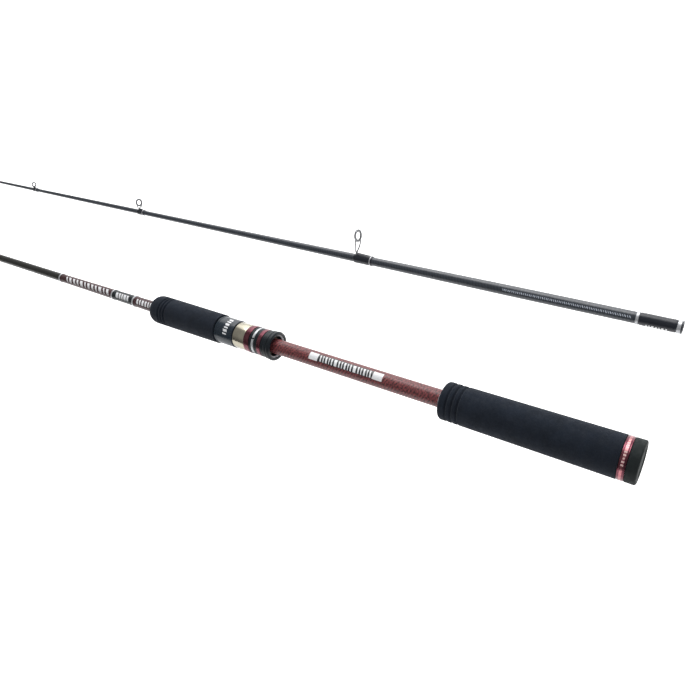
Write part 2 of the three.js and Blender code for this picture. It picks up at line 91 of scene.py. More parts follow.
# Fits between pieces, and the hole that a closed end keeps at its axis
SKIN = 0.03
CLEARANCE = 0.3
AXIS_GAP = 0.01

# Where the camera side of each section lies, from +Z towards +Y, in degrees
FACING = 20
TIP_FACING = 31

# Textures
TOW_WIDTH = 0.65
TAPE_PITCH = 2.4
THREAD_PITCH = 0.18

# Blanks
BLANK_WALL = 1.1
HOLLOW_DEPTH = 40
FERRULE_BORE = 3.35
FERRULE_DEPTH = 90

# The printed strip on the butt blank
STRIP_START = 170.0
STRIP_END = 233.6
STRIP_SQUARE = 8.0

# Seat
BARREL_BORE = 7.0
BARREL_RADIUS = 8.6
LIP_BORE = 9.0
NOSE_BORE = 5.6
BORE_RADIUS = 8.8
BED_HEIGHT = 7.6
PAD_HEIGHT = 7.9
PAD_HALF_WIDTH = 3.8
POCKET_DROP = 12.5
POCKET_HALF_WIDTH = 5.9
HOOD_END_WALL = 2.4
THREAD_LEAD = 3
THREAD_DEPTH = 0.45
# A hood's pod across the rod, from its shoulder to the middle of its sole
POD_CORNERS = [(9.2, 4.0), (7.6, 11.6), (6.6, 13.9), (4.2, 14.4), (0, 14.4)]

# Guides
FRAME_WALL_SHARE = 0.12
FRAME_WALL = 0.2
FRAME_GAP = 0.1
FOOT_THICKNESS = 0.6
RING_TILT = radians(6)
TOP_TILT = radians(20)
WRAP_THICKNESS = 0.42
WRAP_OVERRUN = 1.6
WRAP_PAST_LEGS = 2.0


# ---- measuring the frame

def corners_of(node):
    """A CAD node's corners in millimetres."""
    return np.array([v.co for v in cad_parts[node].data.vertices]) / MM


def span(node):
    """Where a CAD node starts and ends along the rod."""
    points = corners_of(node)
    return points[:, 0].min(), points[:, 0].max()


class Axis:
    """A section's centreline and body, and the way its "up" leans, as an angle from +Z towards -Y."""

    def __init__(self, y, z, body, lean=0.0):
        self.y, self.z, self.body, self.lean = y, z, body, lean

    def leaned(self, lean):
        return Axis(self.y, self.z, self.body, lean)

    def placed(self, points):
        """Row-frame points from (x, side, up) ones."""
        x, side, up = np.moveaxis(np.asarray(points, float), -1, 0)
        c, s = cos(self.lean), sin(self.lean)
        return np.stack((x, self.y + side * c - up * s, self.z + side * s + up * c), -1)

    def local(self, points):
        """(x, side, up) points from row-frame ones."""
        x, y, z = np.moveaxis(np.asarray(points, float), -1, 0)
        c, s = cos(self.lean), sin(self.lean)
        y, z = y - self.y, z - self.z
        return np.stack((x, y * c + z * s, z * c - y * s), -1)

    def radius(self, node):
        """A round CAD node's outer radius about this axis."""
        points = self.local(corners_of(node))
        return np.hypot(points[:, 1], points[:, 2]).max()


def extent(node, axis):
    """Where a round CAD node starts and ends, and its outer radius."""
    return (*span(node), axis.radius(node))


def blank_outline(node, axis, first):
    """A blank's outer (station, radius) points beyond station `first`, from its CAD node."""
    points = axis.local(corners_of(node))
    reach = {}
    for x, side, up in points:
        station = round(float(x), 2)
        reach[station] = max(reach.get(station, 0), hypot(side, up))
    outline = []
    for station in sorted(reach, reverse=True):
        if station < first:
            continue
        if not outline or reach[station] > outline[-1][1] - 0.1:
            outline.append((station, reach[station]))
    return outline[::-1]


def radius_at(outline, station):
    stations, radii = zip(*outline)
    return float(np.interp(station, stations, radii))


BUTT = Axis(0, 0, "butt_section")
TIP_LOW, TIP_HIGH = (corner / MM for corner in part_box("tip_blank"))
TIP = Axis((TIP_LOW.y + TIP_HIGH.y) / 2, (TIP_LOW.z + TIP_HIGH.z) / 2, "tip_section")
BUTT_OUTLINE = blank_outline("butt_blank", BUTT, 0)
TIP_OUTLINE = blank_outline("tip_blank", TIP, TIP_LOW.x + 5)
LABEL_PLACES = ("rear", "middle", "front")
LABEL_STATIONS = [sum(span("label_ring_" + place)) / 2 for place in LABEL_PLACES]


def butt_radius(x):
    return radius_at(BUTT_OUTLINE, x)


def tip_radius(x):
    return radius_at(TIP_OUTLINE, x)


# ---- building meshes

class Surface:
    """The points, faces and UVs of one piece. UVs are in millimetres: around it, then along it."""

    def __init__(self, axis):
        self.axis = axis
        self.points, self.faces, self.uvs, self.slots = [], [], [], []

    def skin(self, loops, slot=0, around=True, joined=False):
        """Skins a row of loops of (x, side, up) points. slot may be a function of the loop's number."""
        loops = np.asarray(loops, float)
        if joined:
            loops = np.concatenate((loops, loops[:1]))
        rows, columns = loops.shape[:2]
        last = columns if around else columns - 1
        base = len(self.points)
        self.points.extend(self.axis.placed(loops.reshape(-1, 3)).tolist())
        closed = np.concatenate((loops, loops[:, :1]), axis=1)
        across = np.linalg.norm(np.diff(closed, axis=1), axis=2).mean(axis=0)
        u = np.concatenate(([0], np.cumsum(across)))
        along = np.linalg.norm(np.diff(loops, axis=0), axis=2).mean(axis=1)
        v = np.concatenate(([0], np.cumsum(along)))
        for i in range(rows - 1):
            number = slot(i) if callable(slot) else slot
            for j in range(last):
                k = (j + 1) % columns
                near, far = base + i * columns, base + (i + 1) * columns
                self.faces.append((near + j, near + k, far + k, far + j))
                self.uvs += [(u[j], v[i]), (u[j + 1], v[i]), (u[j + 1], v[i + 1]), (u[j], v[i + 1])]
                self.slots.append(number)
        return self

    def piece(self, name, finishes, replaces=(), slot=None, body=None):
        """Makes the piece, with its axis's body unless told otherwise; each face takes the finish its skin
        gave it, and the slot argument is not used.
        """
        mesh = bpy.data.meshes.new(name)
        mesh.from_pydata((np.array(self.points) * MM).tolist(), [], self.faces)
        layer = mesh.uv_layers.new(name="millimetres")
        layer.data.foreach_set("uv", np.array(self.uvs, np.float32).ravel())
        for finish in finishes:
            mesh.materials.append(finish.material)
        mesh.polygons.foreach_set("material_index", self.slots)
        shell = bmesh.new()
        shell.from_mesh(mesh)
        bmesh.ops.remove_doubles(shell, verts=shell.verts, dist=1e-7)
        bmesh.ops.recalc_face_normals(shell, faces=shell.faces)
        shell.to_mesh(mesh)
        shell.free()
        mesh.shade_smooth()
        mesh.set_sharp_from_angle(angle=radians(SMOOTH_ANGLE))
        piece = added(name, mesh)
        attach(piece, body or self.axis.body)
        if replaces:
            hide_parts(*replaces)
        return piece


def added(name, data):
    """A new object in the scene."""
    made = bpy.data.objects.new(name, data)
    bpy.context.scene.collection.objects.link(made)
    return made


def turns(count):
    """Evenly spaced angles round a section, from its "up"."""
    return np.linspace(0, 2 * pi, count, endpoint=False)


def loop(x, radii, angles):
    """A loop of (x, side, up) points from polar radii."""
    radii = np.broadcast_to(radii, angles.shape)
    return np.stack((np.full(angles.shape, float(x)), radii * np.sin(angles), radii * np.cos(angles)), -1)


def turned(outline, count=FINE):
    """Loops of a solid of revolution from (station, radius) points."""
    angles = turns(count)
    return [loop(x, radius, angles) for x, radius in outline]


def ring(name, outline, finishes, nodes=(), count=FINE, axis=BUTT, slot=0, body=None):
    """A turned piece with a hole, from its closed outline, and the CAD nodes it stands for."""
    surface = Surface(axis).skin(turned(outline, count), slot=slot, joined=True)
    return surface.piece(name, finishes, nodes, body=body)


def rounded(corners, steps=5):
    """An outline from (station, radius, rounding) corners, with points that hold each rounding's ends."""
    points = []
    count = len(corners)
    for i, (x, radius, size) in enumerate(corners):
        here = np.array((x, radius), float)
        if not size:
            points.append(here)
            continue
        sides = []
        for other in (corners[i - 1], corners[(i + 1) % count]):
            away = np.array(other[:2], float) - here
            length = np.linalg.norm(away)
            sides.append(away / length * min(size, length * 0.45))
        points.append(here + sides[0] * 1.1)
        for t in np.linspace(0, 1, steps):
            points.append(here + sides[0] * (1 - t) ** 2 + sides[1] * t**2)
        points.append(here + sides[1] * 1.1)
    return points


def band(start, end, inner, outer, edge=0.3):
    """A ring's closed outline with its outer edges rounded."""
    return rounded([(start, inner, 0), (start, outer, edge), (end, outer, edge), (end, inner, 0)])


def grooved(first, spacing, radius, width=2.0, depth=1.0):
    """Three turned grooves, as corners of an outline."""
    corners = []
    for i in range(3):
        middle = first + i * spacing + width / 2
        corners.append((middle - width / 2, radius, 0.35))
        corners.append((middle - width / 8, radius - depth, 0.15))
        corners.append((middle + width / 8, radius - depth, 0.15))
        corners.append((middle + width / 2, radius, 0.35))
    return corners


def smooth_path(points, steps=8):
    """A Catmull-Rom curve through the points."""
    points = np.asarray(points, float)
    padded = np.concatenate((2 * points[:1] - points[1:2], points, 2 * points[-1:] - points[-2:-1]))
    curve = []
    for a, b, c, d in zip(padded, padded[1:], padded[2:], padded[3:]):
        for t in np.arange(steps) / steps:
            curve.append(0.5 * (2 * b + (c - a) * t + (2 * a - 5 * b + 4 * c - d) * t**2
                                + (3 * b - a - 3 * c + d) * t**3))
    curve.append(points[-1])
    return np.array(curve)


def rod_loops(path, widths, heights, count=14):
    """Loops of a rod along a path with an oval section. Both its ends close on a rounded tip."""
    angles = turns(count)
    tangents = np.gradient(path, axis=0)
    tangents /= np.linalg.norm(tangents, axis=1)[:, None]
    widths = np.broadcast_to(widths, len(path))
    heights = np.broadcast_to(heights, len(path))
    loops = []
    across = np.array((0.0, 1.0, 0.0))
    for point, tangent, width, height in zip(path, tangents, widths, heights):
        across = across - tangent * across.dot(tangent)
        across /= np.linalg.norm(across)
        above = np.cross(tangent, across)
        sideways = np.outer(np.cos(angles) * width, across)
        loops.append(point + sideways + np.outer(np.sin(angles) * height, above))
    for end, tangent in ((0, -tangents[0]), (-1, tangents[-1])):
        centre = path[end]
        cap = [centre + (loops[end] - centre) * share + tangent * widths[end] * reach
               for share, reach in ((0.8, 0.35), (0.4, 0.55), (0.02, 0.6))]
        loops = cap[::-1] + loops if end == 0 else loops + cap
    return loops


# ---- materials

class Nodes:
    """A node tree, and short ways to add to it."""

    def __init__(self, tree):
        self.tree = tree

    def add(self, kind, *values, **settings):
        """A shader node with its settings, fed with its first inputs."""
        node = self.tree.nodes.new("ShaderNode" + kind)
        for key, value in settings.items():
            setattr(node, key, value)
        for socket, value in zip(node.inputs, values):
            self.feed(socket, value)
        return node

    def feed(self, socket, value):
        if isinstance(value, bpy.types.NodeSocket):
            self.tree.links.new(value, socket)
        else:
            socket.default_value = value

    def math(self, operation, *values):
        return self.add("Math", *values, operation=operation).outputs[0]


class Finish(Nodes):
    """A node-based material. Its textures read the UVs, or the rest position, in millimetres."""

    def __init__(self, name, color, roughness, metallic=0.0, coat=0.0, specular=0.5):
        self.name, self.color = name, color
        self.material = bpy.data.materials.new(name)
        self.material.use_nodes = True
        super().__init__(self.material.node_tree)
        self.shader = self.tree.nodes["Principled BSDF"]
        settings = {"Base Color": (*color, 1), "Roughness": roughness, "Metallic": metallic,
                    "Coat Weight": coat, "Coat Roughness": 0.06, "Specular IOR Level": specular}
        for socket, value in settings.items():
            self.shader.inputs[socket].default_value = value
        coordinates = self.add("TexCoord")
        scaled = self.add("VectorMath", coordinates.outputs["Object"], operation="SCALE")
        scaled.inputs["Scale"].default_value = 1 / MM
        self.place = scaled.outputs[0]
        self.uv = coordinates.outputs["UV"]
        self.around, self.along, _ = self.add("SeparateXYZ", self.uv).outputs

    def noise(self, size, detail=2.0, where=None):
        """Noise from 0 to 1 whose features are about `size` millimetres."""
        node = self.add("TexNoise", self.place if where is None else where)
        node.inputs["Scale"].default_value = 1 / size
        node.inputs["Detail"].default_value = detail
        return node.outputs["Fac"]

    def grain(self, around, along, detail=2.0):
        """Noise with one size around the piece and another along it, in millimetres."""
        node = self.add("VectorMath", self.uv, (1 / around, 1 / along, 1), operation="MULTIPLY")
        return self.noise(1, detail, node.outputs[0])

    def cells(self, size):
        node = self.add("TexVoronoi", self.place)
        node.inputs["Scale"].default_value = 1 / size
        return node.outputs["Distance"]

    def ramp(self, value, low, high, to_low=0, to_high=1):
        return self.add("MapRange", value, low, high, to_low, to_high).outputs[0]

    def mix(self, share, first, second):
        node = self.add("Mix", data_type="RGBA")
        self.feed(node.inputs["Factor"], share)
        for socket, value in ((node.inputs[6], first), (node.inputs[7], second)):
            self.feed(socket, value if isinstance(value, bpy.types.NodeSocket) else (*value, 1))
        return node.outputs[2]

    def paint(self, color):
        self.feed(self.shader.inputs["Base Color"], color)

    def gloss(self, value, low, high):
        """Roughness between two values where `value` goes from 0.3 to 0.7."""
        self.feed(self.shader.inputs["Roughness"], self.ramp(value, 0.3, 0.7, low, high))

    def relief(self, height, depth):
        """Bumps of a depth in millimetres, on top of any already there."""
        node = self.add("Bump")
        normal = self.shader.inputs["Normal"]
        if normal.links:
            self.feed(node.inputs["Normal"], normal.links[0].from_socket)
        node.inputs["Strength"].default_value = 1
        node.inputs["Distance"].default_value = depth * MM
        self.feed(node.inputs["Height"], height)
        self.feed(normal, node.outputs[0])

    def varied(self, size, change):
        """Slightly lighter and darker patches of the finish's colour."""
        dark = tuple(value * (1 - change) for value in self.color)
        light = tuple(min(1, value * (1 + change)) for value in self.color)
        color = self.mix(self.ramp(self.noise(size), 0.3, 0.7), dark, light)
        self.paint(color)
        return color


def foam():
    """Closed-cell EVA: sanded matt skin with fine open cells, painted darker in their pits as painted shade.
    """
    made = Finish("eva_foam", (0.0090, 0.0130, 0.0210), 0.92, specular=0.14)
    color = made.varied(9, 0.16)
    cells = made.cells(0.55)
    # The cells' pits, where the bump sinks, are painted darker: painted shade
    flecks = made.ramp(cells, 0.0, 0.28, 1, 0)
    made.paint(made.mix(made.math("MULTIPLY", flecks, 0.35), color, (0.006, 0.008, 0.012)))
    made.gloss(made.noise(3), 0.78, 0.96)
    made.relief(cells, 0.10)
    made.relief(made.noise(0.25, 3), 0.05)
    made.shader.inputs["Sheen Weight"].default_value = 0.03
    made.shader.inputs["Sheen Roughness"].default_value = 0.6
    return made


def plain(name, color, roughness, patches, gloss, bumps, detail=2.0, **look):
    """A plain finish. Patches are (size, change), gloss (size, low, high) and bumps (size, depth)."""
    made = Finish(name, color, roughness, **look)
    made.varied(*patches)
    made.gloss(made.noise(gloss[0]), *gloss[1:])
    made.relief(made.noise(bumps[0], detail), bumps[1])
    return made


def metal(name, color, roughness, change=0.06, metallic=1.0):
    """Turned metal: fine lines round it, and slightly uneven gloss."""
    made = Finish(name, color, roughness, metallic=metallic)
    made.varied(5, change)
    made.gloss(made.noise(1.5), roughness * 0.75, roughness * 1.3)
    made.relief(made.grain(14, 0.12), 0.006)
    return made


def red_metal(name, pooled, buffed):
    """Dyed anodising: deeper where the dye pools, lighter where it is buffed."""
    made = Finish(name, buffed, 0.24, metallic=1.0, coat=0.15)
    made.paint(made.mix(made.ramp(made.noise(5.0, 2), 0.30, 0.70), pooled, buffed))
    made.gloss(made.noise(1.5), 0.18, 0.34)
    made.relief(made.grain(14, 0.12), 0.006)
    return made


def weave(name, dark, light, roughness=0.42):
    """Twill carbon cloth under lacquer. Tows cross over two and under two; the tows on top are painted
    lighter as a painted sheen, and each tow differs a little.
    """
    made = Finish(name, light, roughness, coat=0.12, specular=0.35)
    drift = made.math("MULTIPLY_ADD", made.grain(2.5, 3.5, 3), 2.4, -1.2)
    across = made.math("DIVIDE", made.math("ADD", made.around, drift), TOW_WIDTH)
    along = made.math("DIVIDE", made.math("ADD", made.along, drift), TOW_WIDTH)
    step = made.math("SUBTRACT", made.math("FLOOR", across), made.math("FLOOR", along))
    over = made.math("LESS_THAN", made.math("FLOORED_MODULO", step, 4.0), 1.5)
    crowns = [made.math("ABSOLUTE", made.math("SINE", made.math("MULTIPLY", value, pi)))
              for value in (across, along)]
    crown = made.add("Mix", data_type="FLOAT")
    for number, value in ((0, over), (2, crowns[0]), (3, crowns[1])):
        made.feed(crown.inputs[number], value)
    flecks = made.grain(0.9, 1.3, 4)
    # Tows on top are painted lighter than those under them: painted sheen; the flecks are the cloth's own
    # variation
    share = made.math("MULTIPLY_ADD", over, 0.16, made.math("MULTIPLY", flecks, 1.5))
    made.paint(made.mix(made.ramp(share, 0.62, 1.05), dark, light))
    made.gloss(made.grain(0.8, 1.4, 3), roughness * 0.8, roughness * 1.25)
    made.relief(crown.outputs[0], 0.012)
    made.relief(made.noise(2.5), 0.01)
    return made


def carbon(name, dark, light, roughness=0.42, specular=0.3):
    """Unidirectional carbon under lacquer, with the faint spiral of its tape."""
    made = Finish(name, light, roughness, coat=0.12, specular=specular)
    fibres = made.grain(0.22, 9, 3)
    spiral = made.math("SINE", made.math("MULTIPLY_ADD", made.along, 2 * pi / TAPE_PITCH, made.around))
    share = made.math("MULTIPLY_ADD", spiral, 0.12, fibres)
    made.paint(made.mix(made.ramp(share, 0.3, 0.75), dark, light))
    made.gloss(made.noise(3), roughness * 0.8, roughness * 1.2)
    made.relief(spiral, 0.006)
    made.relief(fibres, 0.008)
    return made


def thread(name, color, metallic=0.0):
    """Fine thread wound side by side under epoxy, each thread's crown painted lighter than the groove beside
    it: painted highlight and shade.
    """
    made = Finish(name, color, 0.38, metallic=metallic, coat=0.15, specular=0.35)
    winding = made.math("SINE", made.math("MULTIPLY", made.along, 2 * pi / THREAD_PITCH))
    ridges = made.math("MULTIPLY_ADD", winding, 0.5, 0.5)
    # The crowns of the ridges are painted lighter and the grooves darker: painted highlight and shade
    light = tuple(value * 1.6 + 0.003 for value in color)
    made.paint(made.mix(ridges, color, light))
    made.gloss(made.grain(3, 0.3), 0.28, 0.42)
    made.relief(ridges, 0.02)
    made.relief(made.noise(2.2), 0.03)
    return made


def print_ink(name, color):
    """Pad-printed ink: slightly uneven, with a soft gloss."""
    return plain(name, color, 0.35, (0.9, 0.05), (0.7, 0.28, 0.45), (0.5, 0.006), coat=0.3)


FOAM = foam()
RUBBER = plain("cap_rubber", (0.0095, 0.0135, 0.0140), 0.75, (6, 0.2), (2, 0.6, 0.82), (0.3, 0.04),
               detail=3, specular=0.2)
RED = red_metal("red_anodised", (0.075, 0.020, 0.030), (0.185, 0.058, 0.075))
# Red anodising painted lighter: a painted highlight for the middle band of the butt ring
PAINTED_HIGHLIGHT_RED = red_metal("red_anodised_painted_highlight", (0.30, 0.085, 0.105), (0.46, 0.215, 0.225))
SILVER = metal("silver_trim", (0.46, 0.47, 0.49), 0.38, metallic=0.55)
GOLD = metal("gold_hood", (0.37, 0.345, 0.275), 0.16, 0.08)
MAROON = weave("butt_carbon", (0.030, 0.008, 0.011), (0.235, 0.054, 0.056))
LABEL_RED = weave("butt_carbon_label", (0.014, 0.004, 0.006), (0.068, 0.018, 0.022))
LABEL_BLACK = carbon("butt_carbon_black", (0.003, 0.005, 0.007), (0.009, 0.015, 0.020))
OLIVE = carbon("butt_carbon_front", (0.005, 0.005, 0.004), (0.015, 0.015, 0.012))
DARK = carbon("tip_carbon", (0.009, 0.013, 0.019), (0.036, 0.045, 0.062), 0.34, 0.5)
NYLON = plain("seat_nylon", (0.0045, 0.0085, 0.0120), 0.36, (4, 0.2), (1.2, 0.26, 0.42),
              (0.35, 0.012), specular=0.26)
# Gloss paint with a faint orange peel on it
SLATE = plain("slate_hood", (0.007, 0.015, 0.025), 0.24, (7, 0.1), (2, 0.2, 0.32), (1.6, 0.01),
              coat=0.15, specular=0.32)
THREAD = thread("thread_wrap", (0.0022, 0.0042, 0.0100))
SILVER_THREAD = thread("thread_trim", (0.34, 0.34, 0.36), 0.5)
STEEL = plain("guide_steel", (0.17, 0.175, 0.185), 0.34, (2, 0.12), (0.8, 0.18, 0.34), (0.5, 0.006),
              metallic=1.0)
CERAMIC = plain("guide_ceramic", (0.026, 0.028, 0.031), 0.12, (1.5, 0.25), (0.8, 0.08, 0.18),
                (0.6, 0.002), coat=0.4)
ARBOR = Finish("arbor_composite", (0.16, 0.13, 0.09), 0.9)
ARBOR.varied(1.2, 0.3)
ARBOR.relief(ARBOR.cells(0.8), 0.15)
WHITE_INK = print_ink("white_ink", (0.72, 0.73, 0.75))
BLACK_INK = print_ink("black_ink", (0.008, 0.010, 0.014))
PINK_INK = print_ink("pale_ink", (0.62, 0.42, 0.40))
GREY_INK = print_ink("grey_ink", (0.52, 0.57, 0.66))


# ---- butt end and rear grip

def butt_cap():
    radius = BUTT.radius("butt_cap")
    joint = span("butt_ring")[0] - CLEARANCE
    end = span("butt_cap")[1]
    plug = 4.6
    outline = rounded([
        (0.5, AXIS_GAP, 0), (0.5, 8.6, 0.2), (0.0, 9.2, 0.2), (0.0, 12.7, 0.35), (0.6, radius, 0.45),
        (joint, radius, 0.15), (joint, plug, 0), (end, plug, 0.3), (end, AXIS_GAP, 0),
    ])
    Surface(BUTT).skin(turned(outline)).piece("cap", [RUBBER], ["butt_cap"])


def butt_ring():
    start, end, radius = extent("butt_ring", BUTT)
    outline = rounded([
        (start, 6.9, 0), (start, radius - 0.15, 0.2), (start + 0.7, radius - 0.15, 0.1),
        (start + 0.9, radius, 0.15), (start + 1.3, radius, 0), (end - 1.3, radius, 0),
        (end - 0.9, radius, 0.15), (end - 0.7, radius - 0.15, 0.1), (end, radius - 0.15, 0.2),
        (end, 6.9, 0),
    ])
    # The middle band takes the lighter red as a painted highlight; the edges keep the plain red
    pale = [start + 1.25 < x < end - 1.31 for x, _ in outline]
    ring("butt_trim", outline, [RED, PAINTED_HIGHLIGHT_RED], ["butt_ring"], EXTRA_FINE, slot=lambda i: int(pale[i]))


def rear_grip():
    start, end = span("rear_grip")
    bore = BUTT_OUTLINE[0][1] + CLEARANCE
    rear = BUTT.radius("rear_grip")
    front = rear - 0.45
    outline = rounded([
        (start, bore, 0), (start, rear, 0.35), *grooved(end - 14.8, 4, front), (end, front, 4.8),
        (end, bore + 1.6, 0.5), (end - 0.6, bore, 0),
    ], steps=9)
    grip = ring("rear_foam_grip", outline, [FOAM], ["rear_grip"], EXTRA_FINE)


def silver_ring(name, node, edge, axis=BUTT, inner=None, body=None):
    """A plain trim ring with rounded edges, for a CAD ring."""
    start, end, outer = extent(node, axis)
    inner = inner or outer - 0.35
    ring(name, band(start, end, inner, outer, edge), [SILVER], [node], axis=axis, body=body)


def winding_check():
    start, end, outer = extent("rear_winding_check", BUTT)
    inner = butt_radius(start) + 0.08
    ring("winding_check", rounded([
        (start, inner, 0), (start, outer, 0.25), (start + 1, outer, 0.35), (end, inner + 0.5, 0.15),
        (end, inner, 0),
    ]), [SILVER], ["rear_winding_check"])


# ---- blanks

def butt_blank():
    """The blank, painted in zones that change inside the foregrip and under the label rings."""
    changes = [span("foregrip")[1] - 10] + LABEL_STATIONS
    slots = (0, 2, 1, 2, 3)
    stations = sorted({x for x, _ in BUTT_OUTLINE} | set(changes))
    outside = [(x, butt_radius(x)) for x in stations]
    end, end_radius = outside[-1]
    edge = 0.35
    outside[-1:] = [(end - edge, end_radius), (end, end_radius - edge)]
    bore = end_radius - BLANK_WALL
    inside = [(end, bore), (end - HOLLOW_DEPTH, bore), (end - HOLLOW_DEPTH, AXIS_GAP)]
    outline = [(stations[0], AXIS_GAP)] + outside + inside
    zone = [0] + [slots[sum(x >= change - 0.01 for change in changes)] for x, _ in outside] + [3] * 3
    Surface(BUTT).skin(turned(outline, ROUND), slot=lambda i: zone[i]).piece(
        "butt_blank_skin", [MAROON, LABEL_BLACK, LABEL_RED, OLIVE], ["butt_blank"])


def tip_blank():
    low, high = span("tip_blank")
    ring_start = span("ferrule_mouth_ring")[0]
    lip = 4.3
    outline = rounded([
        (low + FERRULE_DEPTH, AXIS_GAP, 0), (low + FERRULE_DEPTH, FERRULE_BORE, 0),
        (low + 0.2, FERRULE_BORE, 0.15), (low, FERRULE_BORE + 0.3, 0.15), (low, lip, 0.3),
        (ring_start - CLEARANCE, lip, 0.2), (ring_start - CLEARANCE, TIP_OUTLINE[0][1] - 0.03, 0),
    ])
    end = TIP_OUTLINE[-1][1]
    outline += TIP_OUTLINE[:-1] + [(high - 0.3, end), (high, end - 0.25), (high, AXIS_GAP)]
    Surface(TIP).skin(turned(outline, MIDDLE)).piece("tip_blank_skin", [DARK], ["tip_blank"])


# ---- printed marks

def mark(surface, start, end, low, high, radius, slant=0.0, steps=6, slot=0):
    """A thin printed patch from angle low to high, in degrees from +Z towards +Y."""
    angles = np.radians(np.linspace(low, high, steps))
    shift = np.linspace(slant / 2, -slant / 2, steps)
    loops = []
    for x in np.linspace(start, end, max(2, int((end - start) / 6) + 2)):
        reach = radius(x) + SKIN
        loops.append(np.stack((x + shift, reach * np.sin(angles), reach * np.cos(angles)), -1))
    surface.skin(loops, slot, around=False)


def mark_row(surface, start, end, low, high, radius, widths, gap, slant=0.0):
    """Slanted bars side by side from start, repeating the widths until end."""
    x = start
    number = 0
    while True:
        width = widths[number % len(widths)]
        if x + width > end:
            return
        mark(surface, x, x + width, low, high, radius, slant)
        x += width + gap
        number += 1


def blank_print():
    """The generic printed strip between the rear grip and the seat, and the label's bars."""
    strip = Surface(BUTT)
    rear_edge, front_edge = STRIP_START + STRIP_SQUARE, STRIP_END - STRIP_SQUARE
    low, high = FACING - 42, FACING + 14
    mark(strip, STRIP_START, STRIP_END, low, high, butt_radius, slot=1)

    def raised(x):
        return butt_radius(x) + SKIN

    mark(strip, STRIP_START, rear_edge, low, high, raised)
    mark(strip, front_edge, STRIP_END, low, high, raised)
    mark_row(strip, rear_edge + 1.6, front_edge - 1.4, low + 5, high - 4, raised,
             [1.1, 0.7, 1.4, 0.8, 1.1, 2.4], 1.5, 0.9)
    strip.piece("blank_strip", [WHITE_INK, BLACK_INK], slot="butt_carbon")
    label = Surface(BUTT)
    rear, middle, front = LABEL_STATIONS
    mark_row(label, span("foregrip")[1] + 2, rear - 4, FACING - 30, FACING + 26, butt_radius,
             [2.6, 1.7, 2.2], 1.5, 1.2)
    mark_row(label, rear + 6, middle - 5, FACING - 34, FACING + 30, butt_radius, [2.4, 3.2, 2.0], 1.1, 1.4)
    mark_row(label, middle + 5, front - 7, FACING - 36, FACING + 32, butt_radius,
             [3.4, 2.0, 4.2, 2.6, 3.0], 2.6, 3.2)
    label.piece("label_bars", [WHITE_INK], slot="butt_carbon")


def tip_print():
    """Rows of small generic ticks on the tip section, beyond the ferrule and on its wrap."""
    surface = Surface(TIP)
    start = span("ferrule_trim_ring")[1] + 3
    mark_row(surface, start, start + 88, TIP_FACING - 5, TIP_FACING + 15, tip_radius,
             [0.75, 0.5], 0.9, 0.9)
    surface.piece("tip_blank_ticks", [GREY_INK], slot="tip_carbon")
    wrap = Surface(TIP)
    outer = TIP.radius("ferrule_wrap") + 0.05
    low, high = span("ferrule_wrap")
    mark_row(wrap, low + 5, high - 3.5, TIP_FACING + 48, TIP_FACING + 70, lambda x: outer,
             [0.9, 1.4, 0.7], 1.0)
    wrap.piece("ferrule_ticks", [WHITE_INK], slot="thread_wrap")


def hood_print():
    """Generic bars in a row round the sliding hood."""
    middle = span("sliding_hood")[0] + 7.6
    radius = hood_round_radius("sliding_hood")
    surface = Surface(BUTT)
    angle = FACING - 56
    for width in (10, 6, 10, 6, 10, 6):
        mark(surface, middle - 2.0, middle + 2.0, angle, angle + width, lambda x: radius, 0.8)
        angle += width + 5.5
    surface.piece("hood_bars", [WHITE_INK], slot="slate_hood", body="sliding_hood")


def ring_print():
    """Small pale ticks round the camera side of the butt ring."""
    start, end, radius = extent("butt_ring", BUTT)
    surface = Surface(BUTT)
    middle = (start + end) / 2
    for number in range(9):
        angle = FACING - 50 + number * 8.5
        half = 0.8 if number % 3 else 0.45
        mark(surface, middle - half, middle + half, angle, angle + 4.5, lambda x: radius, steps=4)
    surface.piece("butt_ring_ticks", [PINK_INK], slot="red_anodised")


# ---- reel seat

def seat_collar():
    """The black rear end of the seat: a rounded lip, two steps and fine grooves."""
    start, end, lip = extent("seat_end_collar", BUTT)
    collar = 10.9
    barrel = span("seat_barrel")[0]
    ring("seat_collar", rounded([
        (start, LIP_BORE, 0.7), (start, 10.7, 0.3), (start + 0.9, lip, 0.6), (start + 2.5, lip, 0.5),
        (start + 3.1, 10.85, 0.2), (start + 3.5, 10.85, 0.15), (start + 3.9, 11.3, 0.3),
        (start + 6.0, 11.3, 0.3), (start + 6.4, 10.6, 0.2), (start + 6.8, 10.6, 0.15),
        (start + 7.2, collar, 0.25), (start + 8.5, collar, 0.1), (start + 8.7, collar - 0.3, 0.1),
        (start + 8.9, collar, 0.1), (end, collar, 0.2), (end, BORE_RADIUS, 0), (barrel, BORE_RADIUS, 0),
        (barrel, LIP_BORE, 0),
    ]), [NYLON], ["seat_end_collar"], EXTRA_FINE)


def seat_lip():
    """The bright chamfer inside the lip, and the dark recess it leads into."""
    start, end = span("seat_lip_ring")
    back = start + 1.5
    outer = LIP_BORE - SKIN
    chamfer = rounded([(start + 0.4, 8.7, 0.1), (start + 0.4, outer, 0.1),
                       (back, outer, 0), (back, 8.0, 0.1)])
    ring("seat_lip_chamfer", chamfer, [SILVER], ["seat_lip_ring"])
    recess = rounded([(back, 8.0, 0), (back, outer, 0), (end, outer, 0),
                      (end, 7.1, 0.1), (end - 0.4, 7.1, 0.1)])
    ring("seat_lip_recess", recess, [NYLON])


